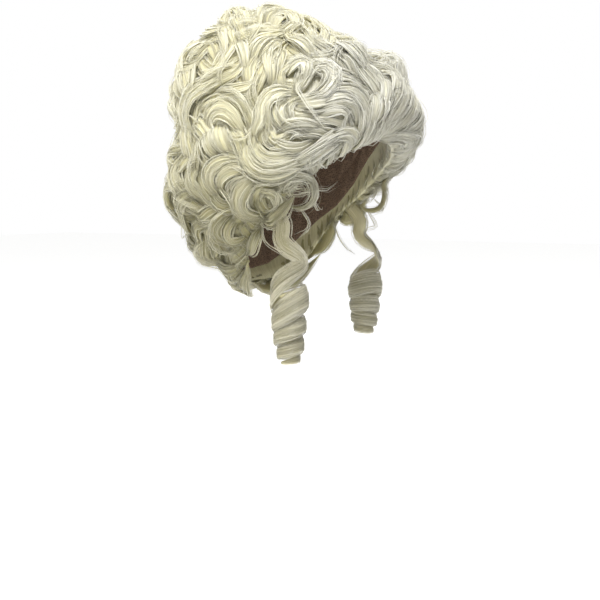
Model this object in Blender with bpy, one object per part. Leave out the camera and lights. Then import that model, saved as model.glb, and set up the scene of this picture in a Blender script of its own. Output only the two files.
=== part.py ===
# A high, curled wig with two hanging ringlets, worn on the head.
# Metres, +Z up. The wearer faces -Y and their right is -X.
# The origin is the inside of the cap's crown, where the top of the head bears.

import math
from collections import namedtuple

import bmesh
import bpy
from mathutils import Matrix, Vector

# Head that the cap fits
HEAD_HALF_WIDTH = 0.076
HEAD_FRONT = 0.092
HEAD_BACK = 0.096
CROWN_TO_WIDEST = 0.100
WIDEST_TO_BASE = 0.105
HEAD_SQUARENESS = 2.5

# Cap
CAP_WALL = 0.0016
FIT_GAP = 0.0004

# How far the hair stands off the cap, before its locks
CROWN_VOLUME = 0.074
FRONT_VOLUME = 0.050
SIDE_VOLUME = 0.046
BACK_VOLUME = 0.060
RIM_ROUNDING = 7
EDGE_WALL = 0.0015

# Partings between the masses of hair
POMPADOUR_BACK = -0.035
POMPADOUR_FOOT = -0.055
CROWN_FOOT = -0.006
BACK_START = 0.065
NAPE_TOP = -0.120

# Locks
CURL_RADIUS = 0.020
LOCK_WIDTH = 0.025
LOCK_THICKNESS = 0.55
LOCK_LIFT = 0.012
LOCK_SIDES = 5
CURL_STEPS = 6
WAVE_STEPS = 5
LOCK_SINK = 0.35
LEFT_TURN = 1.7
LEFT_DROP = 0.8

# Ringlets
RINGLET_RADIUS = 0.0185
RINGLET_PITCH = 0.022
RINGLET_STEP = 0.24
RIGHT_RINGLET_LENGTH = 0.094
LEFT_RINGLET_LENGTH = 0.084
RINGLET_SETBACK = -0.033
RINGLET_TOP = -0.168
RINGLET_SIDES = 9
RINGLET_STEPS_PER_TURN = 6
RINGLET_LOCK_WIDTH = 0.024
RINGLET_LOCK_THICKNESS = 0.009
RINGLET_OFF_HEAD = 0.006
RINGLET_HANG_GAP = 0.004
RINGLET_ROOT_AZIMUTH = 92
RINGLET_ROOT_POLAR = 110
RINGLET_SWING = 0.012
RINGLET_TAPER = 0.35
LEAD_STEPS = 6

# Fineness of the forms
AROUND = 24
CAP_ROWS = 7
HEAD_ROWS = 5
HAIR_ROWS = 9
CRUMB = 0.00002
FAR = 0.5

# Finishes
HAIR_COLOUR = (0.62, 0.58, 0.42)
HAIR_ROUGHNESS = 0.45
CAP_COLOUR = (0.32, 0.22, 0.14)
CAP_ROUGHNESS = 0.85

# The point that the forms are measured from, inside the head
HEART = Vector((0, 0, -0.7 * CROWN_TO_WIDEST))

Rim = namedtuple("Rim", "azimuth cap hair")
Volume = namedtuple("Volume", "polar crown front side back")
Curl = namedtuple("Curl", "azimuth polar radius start sweep width lift")
Wave = namedtuple("Wave", "azimuth polar end_azimuth end_polar bow width lift")

# Edges of the cap and of the hair, in degrees round from the face and down from the crown
RIM = [
    Rim(0, 67.5, 74),
    Rim(25, 70, 82),
    Rim(45, 76, 92),
    Rim(60, 86, 103),
    Rim(72, 101, 114),
    Rim(84, 117, 122),
    Rim(97, 123, 131),
    Rim(112, 130, 144),
    Rim(130, 139, 150),
    Rim(150, 145, 153),
    Rim(180, 148, 154),
]

# Hair's stand-off at each polar angle, as shares of the four volumes
VOLUMES = [
    Volume(0, 1.00, 0.00, 0.00, 0.00),
    Volume(15, 0.86, 0.00, 0.16, 0.34),
    Volume(30, 0.55, 0.14, 0.52, 0.74),
    Volume(45, 0.28, 0.50, 0.80, 0.96),
    Volume(60, 0.08, 0.78, 0.98, 0.90),
    Volume(75, 0.00, 0.94, 1.00, 0.66),
    Volume(90, 0.00, 0.84, 0.90, 0.62),
    Volume(105, 0.00, 0.60, 0.76, 0.70),
    Volume(120, 0.00, 0.44, 0.60, 0.58),
    Volume(135, 0.00, 0.30, 0.50, 0.50),
    Volume(150, 0.00, 0.20, 0.42, 0.46),
]

# Curls of the right side, made again on the left: radius, width and lift are shares
SIDE_CURLS = [
    Curl(-66, 81, 1.55, 150, 190, 1.10, 0.80),
    Curl(-67, 68, 1.05, 215, -250, 0.70, 1.30),
    Curl(-95, 99, 1.10, 250, -190, 1.00, 0.85),
    Curl(-64, 105, 0.75, 100, 320, 0.55, 1.20),
    Curl(-80, 106, 1.50, 185, 165, 0.95, 0.80),
    Curl(-110, 124, 0.80, 270, -190, 0.80, 0.85),
    Curl(-103, 67, 1.00, 60, 220, 0.90, 0.85),
    Curl(-115, 84, 1.05, 120, 170, 1.00, 0.85),
]

CROWN_CURLS = [
    Curl(-130, 46, 1.25, 50, 200, 0.95, 0.85),
    Curl(-100, 42, 1.00, 80, -160, 0.90, 0.90),
    Curl(-142, 25, 0.85, 200, -220, 0.90, 1.00),
    Curl(-60, 33, 0.95, 30, 210, 0.90, 0.80),
    Curl(-74, 15, 0.95, 300, -220, 0.95, 0.85),
]

MIDDLE_CURLS = [
    Curl(180, 64, 1.15, 200, 200, 1.05, 0.85),
    Curl(180, 94, 1.15, 340, -200, 1.05, 0.85),
    Curl(180, 27, 1.05, 90, 200, 1.00, 0.90),
]

BACK_CURLS = [
    Curl(-149, 66, 1.10, 20, 200, 1.00, 0.85),
    Curl(-134, 88, 1.05, 240, -210, 1.00, 0.85),
    Curl(-155, 99, 1.00, 80, 200, 1.00, 1.00),
    Curl(-131, 108, 0.95, 130, 190, 0.90, 0.90),
]

NAPE_WAVES = [
    Wave(-122, 124, -122, 150, 0.25, 0.95, 0.60),
    Wave(-143, 124, -143, 160, -0.25, 1.05, 0.90),
    Wave(-167, 122, -167, 163, 0.25, 1.15, 0.90),
]

POMPADOUR_WAVES = [
    Wave(-5, 70, -16, 22, 0.55, 1.50, 0.30),
    Wave(-22, 76, -40, 30, 0.70, 1.50, 0.45),
    Wave(-38, 82, -60, 44, 0.70, 1.35, 0.60),
    Wave(-51, 91, -76, 60, 0.60, 1.10, 0.70),
]


def table_value(rows, key, field, at):
    """Value of a table's column between its rows."""
    below = rows[0]
    for above in rows:
        if getattr(above, key) >= at:
            break
        below = above
    start, end = getattr(below, key), getattr(above, key)
    share = 0 if end <= start else min(1, (at - start) / (end - start))
    return getattr(below, field) * (1 - share) + getattr(above, field) * share


def direction(azimuth, polar):
    """Unit vector, by degrees round from the face and down from the crown."""
    round_angle, down_angle = math.radians(azimuth), math.radians(polar)
    level = math.sin(down_angle)
    return Vector((level * math.sin(round_angle), -level * math.cos(round_angle), math.cos(down_angle)))


def angles_of(point):
    """Degrees round and down of a point."""
    ray = point - HEART
    return math.degrees(math.atan2(ray.x, -ray.y)), math.degrees(math.acos(ray.z / ray.length))


def head_radius(azimuth, polar):
    """Distance from the heart to the head's surface."""
    ray = direction(azimuth, polar)
    inner, outer = 0.0, 2 * (CROWN_TO_WIDEST + WIDEST_TO_BASE)
    for _ in range(30):
        middle = (inner + outer) / 2
        spot = HEART + ray * middle
        depth = HEAD_FRONT if spot.y < 0 else HEAD_BACK
        height = spot.z + CROWN_TO_WIDEST
        rise = CROWN_TO_WIDEST if height > 0 else WIDEST_TO_BASE
        reach = (
            abs(spot.x / HEAD_HALF_WIDTH) ** HEAD_SQUARENESS
            + abs(spot.y / depth) ** HEAD_SQUARENESS
            + abs(height / rise) ** HEAD_SQUARENESS
        )
        if reach < 1:
            inner = middle
        else:
            outer = middle
    return inner


def rim_polar(azimuth, edge="cap"):
    """Polar angle of the edge of the cap or of the hair."""
    turned = abs((azimuth + 180) % 360 - 180)
    return table_value(RIM, "azimuth", edge, turned)


def hair_stand_off(azimuth, polar):
    """Thickness of the hair's mass over the head, rounded off to its edge."""
    facing = math.cos(math.radians(azimuth))
    end_field, end_volume = ("front", FRONT_VOLUME) if facing > 0 else ("back", BACK_VOLUME)
    crown = table_value(VOLUMES, "polar", "crown", polar) * CROWN_VOLUME
    end = table_value(VOLUMES, "polar", end_field, polar) * end_volume
    side = table_value(VOLUMES, "polar", "side", polar) * SIDE_VOLUME
    full = crown + end * facing**2 + side * (1 - facing**2)
    share = min(1, polar / rim_polar(azimuth, "hair"))
    return full * math.sqrt(1 - share**RIM_ROUNDING)


def over_head(azimuth, polar, lift=0.0):
    """Point that stands a distance off the head."""
    return HEART + direction(azimuth, polar) * (head_radius(azimuth, polar) + lift)


def over_hair(azimuth, polar, lift=0.0):
    """Point that stands a distance off the hair's mass."""
    return over_head(azimuth, polar, hair_stand_off(azimuth, polar) + CAP_WALL + lift)


def surface_axes(azimuth, polar):
    """Directions along, up and out of the hair's surface at a spot."""
    nudge = 1.0
    along = over_hair(azimuth + nudge, polar) - over_hair(azimuth - nudge, polar)
    upward = over_hair(azimuth, polar - nudge) - over_hair(azimuth, polar + nudge)
    along.normalize()
    out = along.cross(upward).normalized()
    return along, out.cross(along), out


def new_object(name, bm, colour, roughness):
    """Object of a bmesh, with its own material."""
    mesh = bpy.data.meshes.new(name)
    bm.to_mesh(mesh)
    bm.free()
    mesh.shade_smooth()
    mesh.set_sharp_from_angle(angle=math.radians(50))
    material = bpy.data.materials.new(name)
    material.use_nodes = True
    shader = material.node_tree.nodes["Principled BSDF"]
    shader.inputs["Base Color"].default_value = (*colour, 1)
    shader.inputs["Roughness"].default_value = roughness
    mesh.materials.append(material)
    made = bpy.data.objects.new(name, mesh)
    bpy.context.collection.objects.link(made)
    return made


def dome_rings(bm, rows, surface, edge="cap"):
    """Rings of vertices from the crown to the rim on a surface; the first is the pole."""
    pole = bm.verts.new(surface(0, 0))
    rings = []
    for row in range(1, rows + 1):
        ring = []
        for column in range(AROUND):
            azimuth = 360 * column / AROUND
            polar = rim_polar(azimuth, edge) * row / rows
            ring.append(bm.verts.new(surface(azimuth, polar)))
        rings.append(ring)
    for column in range(AROUND):
        after = (column + 1) % AROUND
        bm.faces.new((pole, rings[0][column], rings[0][after]))
        for upper, lower in zip(rings, rings[1:]):
            bm.faces.new((upper[column], lower[column], lower[after], upper[after]))
    return rings


def join_rims(bm, first, second):
    """Faces between two rim rings."""
    for column in range(AROUND):
        after = (column + 1) % AROUND
        bm.faces.new((first[column], second[column], second[after], first[after]))


def cap_shell():
    """Cap of an even wall."""
    bm = bmesh.new()
    outer = dome_rings(bm, CAP_ROWS, lambda azimuth, polar: over_head(azimuth, polar, CAP_WALL))
    inner = dome_rings(bm, CAP_ROWS, over_head)
    join_rims(bm, outer[-1], inner[-1])
    bmesh.ops.recalc_face_normals(bm, faces=bm.faces)
    return bm


def hair_mass():
    """Mass of the hair down to the rim, filled to the heart."""
    bm = bmesh.new()
    rings = dome_rings(bm, HAIR_ROWS, lambda azimuth, polar: over_hair(azimuth, polar, EDGE_WALL), "hair")
    heart = bm.verts.new(HEART)
    for column in range(AROUND):
        bm.faces.new((rings[-1][column], heart, rings[-1][(column + 1) % AROUND]))
    bmesh.ops.recalc_face_normals(bm, faces=bm.faces)
    return bm


def head_room():
    """Solid of the cap and the whole head in it, to keep the hair out."""
    bm = bmesh.new()
    clear = CAP_WALL + FIT_GAP
    rings = dome_rings(bm, CAP_ROWS, lambda azimuth, polar: over_head(azimuth, polar, clear))
    for row in range(1, HEAD_ROWS):
        ring = []
        for column in range(AROUND):
            azimuth = 360 * column / AROUND
            edge = rim_polar(azimuth)
            ring.append(bm.verts.new(over_head(azimuth, edge + (180 - edge) * row / HEAD_ROWS, clear)))
        join_rims(bm, rings[-1], ring)
        rings.append(ring)
    foot = bm.verts.new(over_head(0, 180, clear))
    for column in range(AROUND):
        bm.faces.new((rings[-1][column], foot, rings[-1][(column + 1) % AROUND]))
    bmesh.ops.recalc_face_normals(bm, faces=bm.faces)
    return bm


def swell(share):
    """Share of a lock's full width along it: drawn in at its root and more at its tip."""
    root, tip = 0.55, 0.25
    root_run, tip_run = 0.30, 0.45
    rise = root + (1 - root) * math.sin(min(1, share / root_run) * math.pi / 2)
    fall = tip + (1 - tip) * math.sin(min(1, (1 - share) / tip_run) * math.pi / 2)
    return min(rise, fall)


def section_matrix(centre, tangent, out, half_width, half_thickness):
    """Place of a lock's section: X out of the hair, Y across the lock, Z along it."""
    across = tangent.cross(out).normalized()
    upright = across.cross(tangent).normalized()
    rows = (upright * half_thickness, across * half_width, tangent, centre)
    return Matrix([[column[axis] for column in rows] for axis in range(3)] + [[0, 0, 0, 1]])


def skin_rings(bm, rings):
    """Faces that close a row of rings into a solid."""
    for before, after in zip(rings, rings[1:]):
        for number in range(len(before)):
            beside = (number + 1) % len(before)
            bm.faces.new((before[number], after[number], after[beside], before[beside]))
    bm.faces.new(rings[0])
    bm.faces.new(rings[-1])


def lay_lock(bm, points, width):
    """Flattened lock along points that lie near the hair's surface."""
    rings = []
    last = len(points) - 1
    for step, point in enumerate(points):
        tangent = (points[min(step + 1, last)] - points[max(step - 1, 0)]).normalized()
        out = surface_axes(*angles_of(point))[2]
        half_width = width * swell(step / last) / 2
        place = section_matrix(point, tangent, out, half_width, half_width * LOCK_THICKNESS)
        rings.append(bmesh.ops.create_circle(bm, segments=LOCK_SIDES, radius=1, matrix=place)["verts"])
    skin_rings(bm, rings)


def curl_points(row):
    """Centre line of a loop that lies on the hair and lifts off it in the middle."""
    spot = over_hair(row.azimuth, row.polar)
    along, upward, _ = surface_axes(row.azimuth, row.polar)
    points = []
    for step in range(CURL_STEPS + 1):
        share = step / CURL_STEPS
        turned = math.radians(row.start + row.sweep * share)
        reach = row.radius * CURL_RADIUS
        beside = spot + (along * math.cos(turned) + upward * math.sin(turned)) * reach
        rise = math.sin(math.pi * share) * row.lift * LOCK_LIFT - LOCK_SINK * LOCK_LIFT
        points.append(over_hair(*angles_of(beside), rise))
    return points


def wave_points(row):
    """Centre line of a long lock that bows sideways between its ends."""
    points = []
    for step in range(WAVE_STEPS + 1):
        share = step / WAVE_STEPS
        azimuth = row.azimuth + (row.end_azimuth - row.azimuth) * share
        polar = row.polar + (row.end_polar - row.polar) * share
        along, _, _ = surface_axes(azimuth, polar)
        swing = math.sin(math.pi * share)
        beside = over_hair(azimuth, polar) + along * (row.bow * CURL_RADIUS * swing)
        rise = swing * row.lift * LOCK_LIFT - LOCK_SINK * LOCK_LIFT
        points.append(over_hair(*angles_of(beside), rise))
    return points


def mirrored(row):
    """Same lock on the other side of the head, a little further round and down."""
    placed = row._replace(azimuth=LEFT_TURN - row.azimuth, polar=row.polar + LEFT_DROP)
    if isinstance(row, Wave):
        return placed._replace(end_azimuth=LEFT_TURN - row.end_azimuth, bow=-row.bow)
    return placed._replace(start=180 - row.start, sweep=-row.sweep)


def all_locks():
    """Every lock on the hair's mass, in one bmesh."""
    bm = bmesh.new()
    paired_curls = SIDE_CURLS + CROWN_CURLS + BACK_CURLS
    for row in paired_curls + [mirrored(row) for row in paired_curls] + MIDDLE_CURLS:
        lay_lock(bm, curl_points(row), row.width * LOCK_WIDTH)
    paired_waves = NAPE_WAVES + POMPADOUR_WAVES
    for row in paired_waves + [mirrored(row) for row in paired_waves]:
        lay_lock(bm, wave_points(row), row.width * LOCK_WIDTH)
    bmesh.ops.recalc_face_normals(bm, faces=bm.faces)
    return bm


def tool(name, bm):
    """Object that only shapes another."""
    mesh = bpy.data.meshes.new(name)
    bm.to_mesh(mesh)
    bm.free()
    made = bpy.data.objects.new(name, mesh)
    bpy.context.collection.objects.link(made)
    made.hide_render = True
    made.display_type = "WIRE"
    return made


def islands(bm):
    """Groups of vertices that faces join."""
    left = set(bm.verts)
    groups = []
    while left:
        found = {left.pop()}
        edge = list(found)
        while edge:
            for link in edge.pop().link_edges:
                for vertex in link.verts:
                    if vertex in left:
                        left.remove(vertex)
                        found.add(vertex)
                        edge.append(vertex)
        groups.append(found)
    return groups


def keep_largest(bm):
    """Drop the crumbs that a cut leaves loose."""
    groups = sorted(islands(bm), key=len)
    crumbs = [vertex for group in groups[:-1] for vertex in group]
    bmesh.ops.delete(bm, geom=crumbs, context="VERTS")


def drop_flaps(bm):
    """Drop the faces that merging left hanging by one edge."""
    flaps = [face for face in bm.faces if any(edge.is_boundary for edge in face.edges)]
    bmesh.ops.delete(bm, geom=flaps, context="FACES")


def combine(target, other, operation, crossing=False):
    """Apply a Boolean of another object to the target."""
    step = target.modifiers.new(operation.lower(), "BOOLEAN")
    step.operation = operation
    step.solver = "EXACT"
    step.use_self = crossing
    step.object = other
    evaluated = target.evaluated_get(bpy.context.evaluated_depsgraph_get())
    mesh = bpy.data.meshes.new_from_object(evaluated)
    target.modifiers.clear()
    bm = bmesh.new()
    bm.from_mesh(mesh)
    bmesh.ops.remove_doubles(bm, verts=bm.verts, dist=CRUMB)
    bmesh.ops.dissolve_degenerate(bm, edges=bm.edges, dist=CRUMB)
    bmesh.ops.triangulate(bm, faces=bm.faces)
    drop_flaps(bm)
    keep_largest(bm)
    bm.to_mesh(mesh)
    bm.free()
    target.data = mesh


def block(name, across, deep, high):
    """Box between limits along X, Y and Z."""
    bm = bmesh.new()
    size = [limits[1] - limits[0] for limits in (across, deep, high)]
    middle = [(limits[1] + limits[0]) / 2 for limits in (across, deep, high)]
    place = Matrix.Translation(middle) @ Matrix.Diagonal((*size, 1))
    bmesh.ops.create_cube(bm, size=1, matrix=place)
    return tool(name, bm)


def side_block(name, across):
    """Stepped block round the hair of one side."""
    near = FIT_GAP / 2
    outline = (
        (-FAR, -FAR),
        (BACK_START - near, -FAR),
        (BACK_START - near, CROWN_FOOT - near),
        (POMPADOUR_BACK + near, CROWN_FOOT - near),
        (POMPADOUR_BACK + near, POMPADOUR_FOOT - near),
        (-FAR, POMPADOUR_FOOT - near),
    )
    bm = bmesh.new()
    face = bm.faces.new([bm.verts.new((across[0], deep, high)) for deep, high in outline])
    made = bmesh.ops.extrude_face_region(bm, geom=[face])["geom"]
    moved = [item for item in made if isinstance(item, bmesh.types.BMVert)]
    bmesh.ops.translate(bm, verts=moved, vec=(across[1] - across[0], 0, 0))
    bmesh.ops.recalc_face_normals(bm, faces=bm.faces)
    return tool(name, bm)


def hair_piece(name, hair, zone, cutters=()):
    """Piece of the hair inside a zone, clear of the cutters."""
    piece = tool(name + "_rough", bmesh.new())
    piece.data = hair.data.copy()
    combine(piece, zone, "INTERSECT")
    for cutter in cutters:
        combine(piece, cutter, "DIFFERENCE")
    bm = bmesh.new()
    bm.from_mesh(piece.data)
    bpy.data.objects.remove(piece)
    return new_object(name, bm, HAIR_COLOUR, HAIR_ROUGHNESS)


def ringlet_corners(side):
    """Corners that pull the lock feeding a ringlet, from its root in the side hair."""
    hang = side * (HEAD_HALF_WIDTH + CAP_WALL + RINGLET_HANG_GAP)
    off_head = CAP_WALL + RINGLET_OFF_HEAD + RINGLET_LOCK_THICKNESS / 2
    root = over_head(side * RINGLET_ROOT_AZIMUTH, RINGLET_ROOT_POLAR, off_head)
    forward = RINGLET_SETBACK - RINGLET_SWING
    return (
        root,
        Vector((root.x, (root.y + forward) / 2, root.z - RINGLET_SWING)),
        Vector((hang, forward - RINGLET_SWING, RINGLET_TOP + RINGLET_SWING)),
        Vector((hang, RINGLET_SETBACK, RINGLET_TOP)),
    )


def curve_point(corners, share):
    """Point along a smooth curve pulled by its corners."""
    level = list(corners)
    while len(level) > 1:
        level = [first.lerp(second, share) for first, second in zip(level, level[1:])]
    return level[0]


def ringlet_ring(bm, place, step, turned):
    """Section of a coiled lock, stepped in where its next turn starts."""
    ring = bmesh.ops.create_circle(bm, segments=RINGLET_SIDES, radius=1)["verts"]
    for number, vertex in enumerate(ring):
        phase = (number / RINGLET_SIDES + turned) % 1
        vertex.co = place @ (vertex.co * (1 - step * phase))
    return ring


def ringlet_rings(bm, side, length, spare):
    """Sections of a ringlet from its root down, each grown by a spare."""
    corners = ringlet_corners(side)
    out = Vector((side, 0, 0))
    rings = []
    for step in range(LEAD_STEPS):
        share = step / LEAD_STEPS
        centre = curve_point(corners, share)
        tangent = (curve_point(corners, share + 0.01) - centre).normalized()
        grown = share**3
        half_width = RINGLET_LOCK_WIDTH / 2 * (1 - grown) + RINGLET_RADIUS * grown + spare
        half_thickness = RINGLET_LOCK_THICKNESS / 2 * (1 - grown) + RINGLET_RADIUS * grown + spare
        place = section_matrix(centre, tangent, out, half_width, half_thickness)
        rings.append(ringlet_ring(bm, place, 0, 0))
    steps = round(length / RINGLET_PITCH * RINGLET_STEPS_PER_TURN)
    for step in range(steps + 1):
        share = step / steps
        centre = corners[-1] - Vector((0, 0, length * share))
        radius = RINGLET_RADIUS * (1 - RINGLET_TAPER * share**4) + spare
        place = section_matrix(centre, Vector((0, 0, -1)), out, radius, radius)
        rings.append(ringlet_ring(bm, place, RINGLET_STEP, side * step / RINGLET_STEPS_PER_TURN))
    return rings


def ringlet_solid(side, length, spare=0.0):
    """Hanging corkscrew ringlet."""
    bm = bmesh.new()
    skin_rings(bm, ringlet_rings(bm, side, length, spare))
    bmesh.ops.recalc_face_normals(bm, faces=bm.faces)
    return bm


def build():
    """Cap, hair in its masses, and ringlets."""
    for old in list(bpy.data.objects):
        bpy.data.objects.remove(old)
    new_object("cap", cap_shell(), CAP_COLOUR, CAP_ROUGHNESS)

    hair = tool("hair_whole", hair_mass())
    combine(hair, tool("locks", all_locks()), "UNION", crossing=True)
    combine(hair, tool("head_room", head_room()), "DIFFERENCE")

    near = FIT_GAP / 2
    everywhere = (-FAR, FAR)
    front = (-FAR, POMPADOUR_BACK - near)
    behind_front = (POMPADOUR_BACK + near, FAR)
    at_back = (BACK_START + near, FAR)
    back_height = (NAPE_TOP + near, CROWN_FOOT - near)
    zones = {
        "pompadour": block("front_zone", everywhere, front, (POMPADOUR_FOOT + near, FAR)),
        "crown_curls": block("crown_zone", everywhere, behind_front, (CROWN_FOOT + near, FAR)),
        "back_curls": block("back_zone", everywhere, at_back, back_height),
        "nape_curls": block("nape_zone", everywhere, at_back, (-FAR, NAPE_TOP - near)),
    }
    for name, zone in zones.items():
        hair_piece(name, hair, zone)
    sides = (("right", -1, RIGHT_RINGLET_LENGTH), ("left", 1, LEFT_RINGLET_LENGTH))
    for word, side, length in sides:
        new_object("ringlet_" + word, ringlet_solid(side, length), HAIR_COLOUR, HAIR_ROUGHNESS)
        socket = tool("socket_" + word, ringlet_solid(side, length, FIT_GAP))
        zone = side_block("side_zone_" + word, sorted((side * near, side * FAR)))
        hair_piece("side_curls_" + word, hair, zone, [socket])


build()
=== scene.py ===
# The looks of a tall, curled wig with two hanging ringlets: locks of pale hair, each a band with strands.
# Metres, +Z up. The wearer faces -Y and their right is -X.

import math
from collections import namedtuple

import bmesh
import bpy
import numpy as np
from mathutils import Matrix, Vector


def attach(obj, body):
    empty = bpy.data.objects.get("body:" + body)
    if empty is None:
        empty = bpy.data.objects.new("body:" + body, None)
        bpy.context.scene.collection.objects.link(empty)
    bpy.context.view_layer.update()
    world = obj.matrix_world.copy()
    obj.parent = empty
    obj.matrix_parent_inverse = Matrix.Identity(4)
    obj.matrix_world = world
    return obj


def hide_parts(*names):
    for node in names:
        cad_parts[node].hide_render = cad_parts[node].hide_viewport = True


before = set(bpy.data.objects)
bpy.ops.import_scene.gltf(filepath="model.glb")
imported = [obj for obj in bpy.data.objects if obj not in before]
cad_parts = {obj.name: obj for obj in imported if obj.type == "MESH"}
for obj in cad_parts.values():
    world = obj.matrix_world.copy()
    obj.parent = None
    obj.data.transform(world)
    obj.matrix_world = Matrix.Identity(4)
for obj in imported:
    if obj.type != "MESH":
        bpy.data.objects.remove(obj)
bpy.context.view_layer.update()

# Head and cap, as in the part's source
HEAD_HALF_WIDTH = 0.076
HEAD_FRONT = 0.092
HEAD_BACK = 0.096
CROWN_TO_WIDEST = 0.100
WIDEST_TO_BASE = 0.105
HEAD_SQUARENESS = 2.5
CAP_WALL = 0.0016
HEART = np.array((0, 0, -0.7 * CROWN_TO_WIDEST))

# Hair's stand-off, as in the part's source
CROWN_VOLUME = 0.074
FRONT_VOLUME = 0.050
SIDE_VOLUME = 0.046
BACK_VOLUME = 0.060
RIM_ROUNDING = 7
LEFT_TURN = 1.7
LEFT_DROP = 0.8

# Partings between the masses of hair
POMPADOUR_BACK = -0.035
POMPADOUR_FOOT = -0.055
CROWN_FOOT = 0.010
BACK_START = 0.065
NAPE_TOP = -0.120

# Under hair, between the cap and the locks
UNDER_SINK = 0.0015
UNDER_LEAST = 0.0012
UNDER_CLEAR = 0.0006
UNDER_AROUND = 96
UNDER_ROWS = 30
UNDER_SEAM = 0.00002
# The under hair's low tone is painted shade, as it lies deep between the locks
UNDER_SHADE_TONE = 0.30
METRES_A_DEGREE = 0.0018

# Locks: bands that arch in their middle and sink at their ends
LOCK_STEPS = 15
LOCK_SIDES = 8
LOCK_THICKNESS = 0.19
LOCK_ARCH = 0.0075
ARCH_FULLNESS = 0.7
LOCK_SINK = 0.007
LOCK_CLEAR = 0.002
LOCK_MARGIN = 2
RIM_HANG = 4
HANGING_WIDTH = 0.012
CORE_WIDTH = 0.74
RIPPLE = 0.05
RIPPLE_BUNDLES = (3, 5, 6)
RIPPLE_DRIFT = 1.5
ROLL = (-0.3, 0.3)

# Locks that the photo shows, and their likes on the sides that it hides
SEEN_WIDTH = 1.45
SEEN_SETTLING = 0.7
WISP_WIDTH = 0.006
LIKES_FROM = -150
LIKES_TO = -28
BACK_LIKES_TO = -85
BACK_LIKES_BELOW = 30
BACK_TURN = -62
LIKE_SHIFT = 1.2

# Curls between them. Spots are a count and a turn in degrees, and other pairs are ranges to draw from
SPOT_MARGIN = 5
GOLDEN_ANGLE = 137.508
CURL_SPOTS = (320, 40)
CURL_SWEEP = (150, 260)
CURL_RADIUS = (0.014, 0.023)
CURL_OPENING = (0.75, 1.1)
CURL_CORNERS = 7
CURL_WIDTH = (0.017, 0.025)
CURL_LIFT = (0.6, 1.1)
CURL_FILL = 0.9
HIDDEN_FACING = 0.20
HIDDEN_ROOM = 0.010
SEEN_ROOM = 0.015
SEEN_LIFT = 0.4

# Low locks that follow the lie of the others
COMB_REACH = 0.005
COMB_STEP = 0.006
COMB_STEPS = 7
LOW_SPOTS = (370, 0)
LOW_WIDTH = (0.015, 0.022)
LOW_LIFT = (0.05, 0.5)
LOW_ROLL = (-0.15, 0.15)
LOW_FILL = 0.7

# Wisps: loose ones follow the lie, and crossed ones curl over it
LOOSE_SPOTS = (110, 80)
LOOSE_WIDTH = (0.002, 0.005)
LOOSE_LIFT = (0.8, 1.6)
CROSSED_SPOTS = (150, 20)
CROSSED_SWEEP = (100, 220)
CROSSED_RADIUS = (0.010, 0.022)
CROSSED_WIDTH = (0.003, 0.008)
CROSSED_LIFT = (0.5, 1.3)

# Locks that come from under the cap's edge and roll over the edge of the hair
EDGE_LOCKS = 76
EDGE_WIDTH = 0.012
EDGE_VARIES = (0.8, 1.2)
EDGE_SLANT = 5
EDGE_MARGIN = 0.5
EDGE_OFF = 0.0014
EDGE_TURN = 15
EDGE_LIFT = 0.3
EDGE_FILL = 0.35

# Strands, in small bundles over each lock
STRAND_STEPS = 10
STRAND_SIDES = 3
STRAND_HALF_WIDTH = 0.00036
STRAND_FINENESS = (0.45, 1.6)
STRAND_FLATNESS = 0.8
STRAND_PITCH = 0.00062
STRAND_STARTS = (0.0, 0.08)
STRAND_STOPS = (0.88, 1.0)
STRAND_SPREAD = 1.12
STRAND_SIDLE = 0.12
STRAND_PACE = (3, 7)
STRAND_ROUNDNESS = 0.15
STRAND_OFF = 0.0001
STRANDS_A_BUNDLE = 4
FEWEST_BUNDLES = 3
BUNDLE_PLACE = (0.2, 0.8)
BUNDLE_SPREAD = 0.45
BUNDLE_DRIFT = 0.4
FULL_WAVE = 6.3
OWN_NUMBERS = 50
FRIZZ = 0.0011
WISP_PITCH = 0.0007
STRAY_HALF_WIDTH = 0.00024
STRAY_LIFT = (0.0008, 0.0045)
STRAY_AWAY = 0.004
STRAYS_ABOVE = 0.5

# Tone of the hair, from 0 in its depths to 1 in full light: painted shade where it lies deep and towards
# the nape, painted highlights on wisps, on the edges of locks and on a few bright strands, and tone that
# differs at random
# Painted shade in the depths: the tone rises from DEEP_TONE by up to RISE_TONE as the hair stands higher
# over its mass
DEEP_TONE = 0.22
RISE_TONE = 0.42
RISE_START = -0.004
RISE_REACH = 0.014
# Painted shade towards the nape: the tone falls by up to LOW_SHADE from LOW_START degrees down, over
# LOW_REACH degrees more
LOW_START = 80
LOW_REACH = 40
LOW_SHADE = 0.44
# Painted shade under the strands: a lock's core sits a little below the strands over it in tone (BODY_SHINE
# against STRAND_SHINE), and varies at random from lock to lock
BODY_SHINE = -0.03
BODY_VARIES = 0.04
STRAND_SHINE = 0.04
# Painted highlight on the strands of wisps
WISP_SHINE = 0.16
SHINE_VARIES = 0.05
# Painted highlights: on strands towards a lock's edges, and on a share of strands picked at random
EDGE_SHINE = 0.30
BRIGHT_SHINE = 0.26
BRIGHT_SHARE = 0.09

# Colours of the hair by its tone, from the painted shade of its depths to full light and painted
# highlights; the hair is greyer, and darker as painted shade, towards the brow
HAIR_IN_SHADE = (0.34, 0.31, 0.15, 1)
HAIR_MIDDLE = (0.70, 0.66, 0.43, 1)
HAIR_LIGHT = (0.94, 0.91, 0.69, 1)
HAIR_ROUGHNESS = 0.34
RINGLET_MIDDLE = (0.68, 0.63, 0.41, 1)
RINGLET_LIGHT = (0.96, 0.93, 0.71, 1)
RINGLET_ROUGHNESS = 0.28
ROUGHNESS_SWING = 0.2
NET_THREAD = (0.20, 0.13, 0.08, 1)
NET_GAP = (0.07, 0.045, 0.03, 1)
STREAK_CONTRAST = 1.1
# Towards the brow the hair is greyer, and darker as painted shade
GREY_START = -0.015
GREY_FULL = -0.085
GREY_COLOUR = 0.64
BROW_SHADE_VALUE = 0.86

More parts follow.
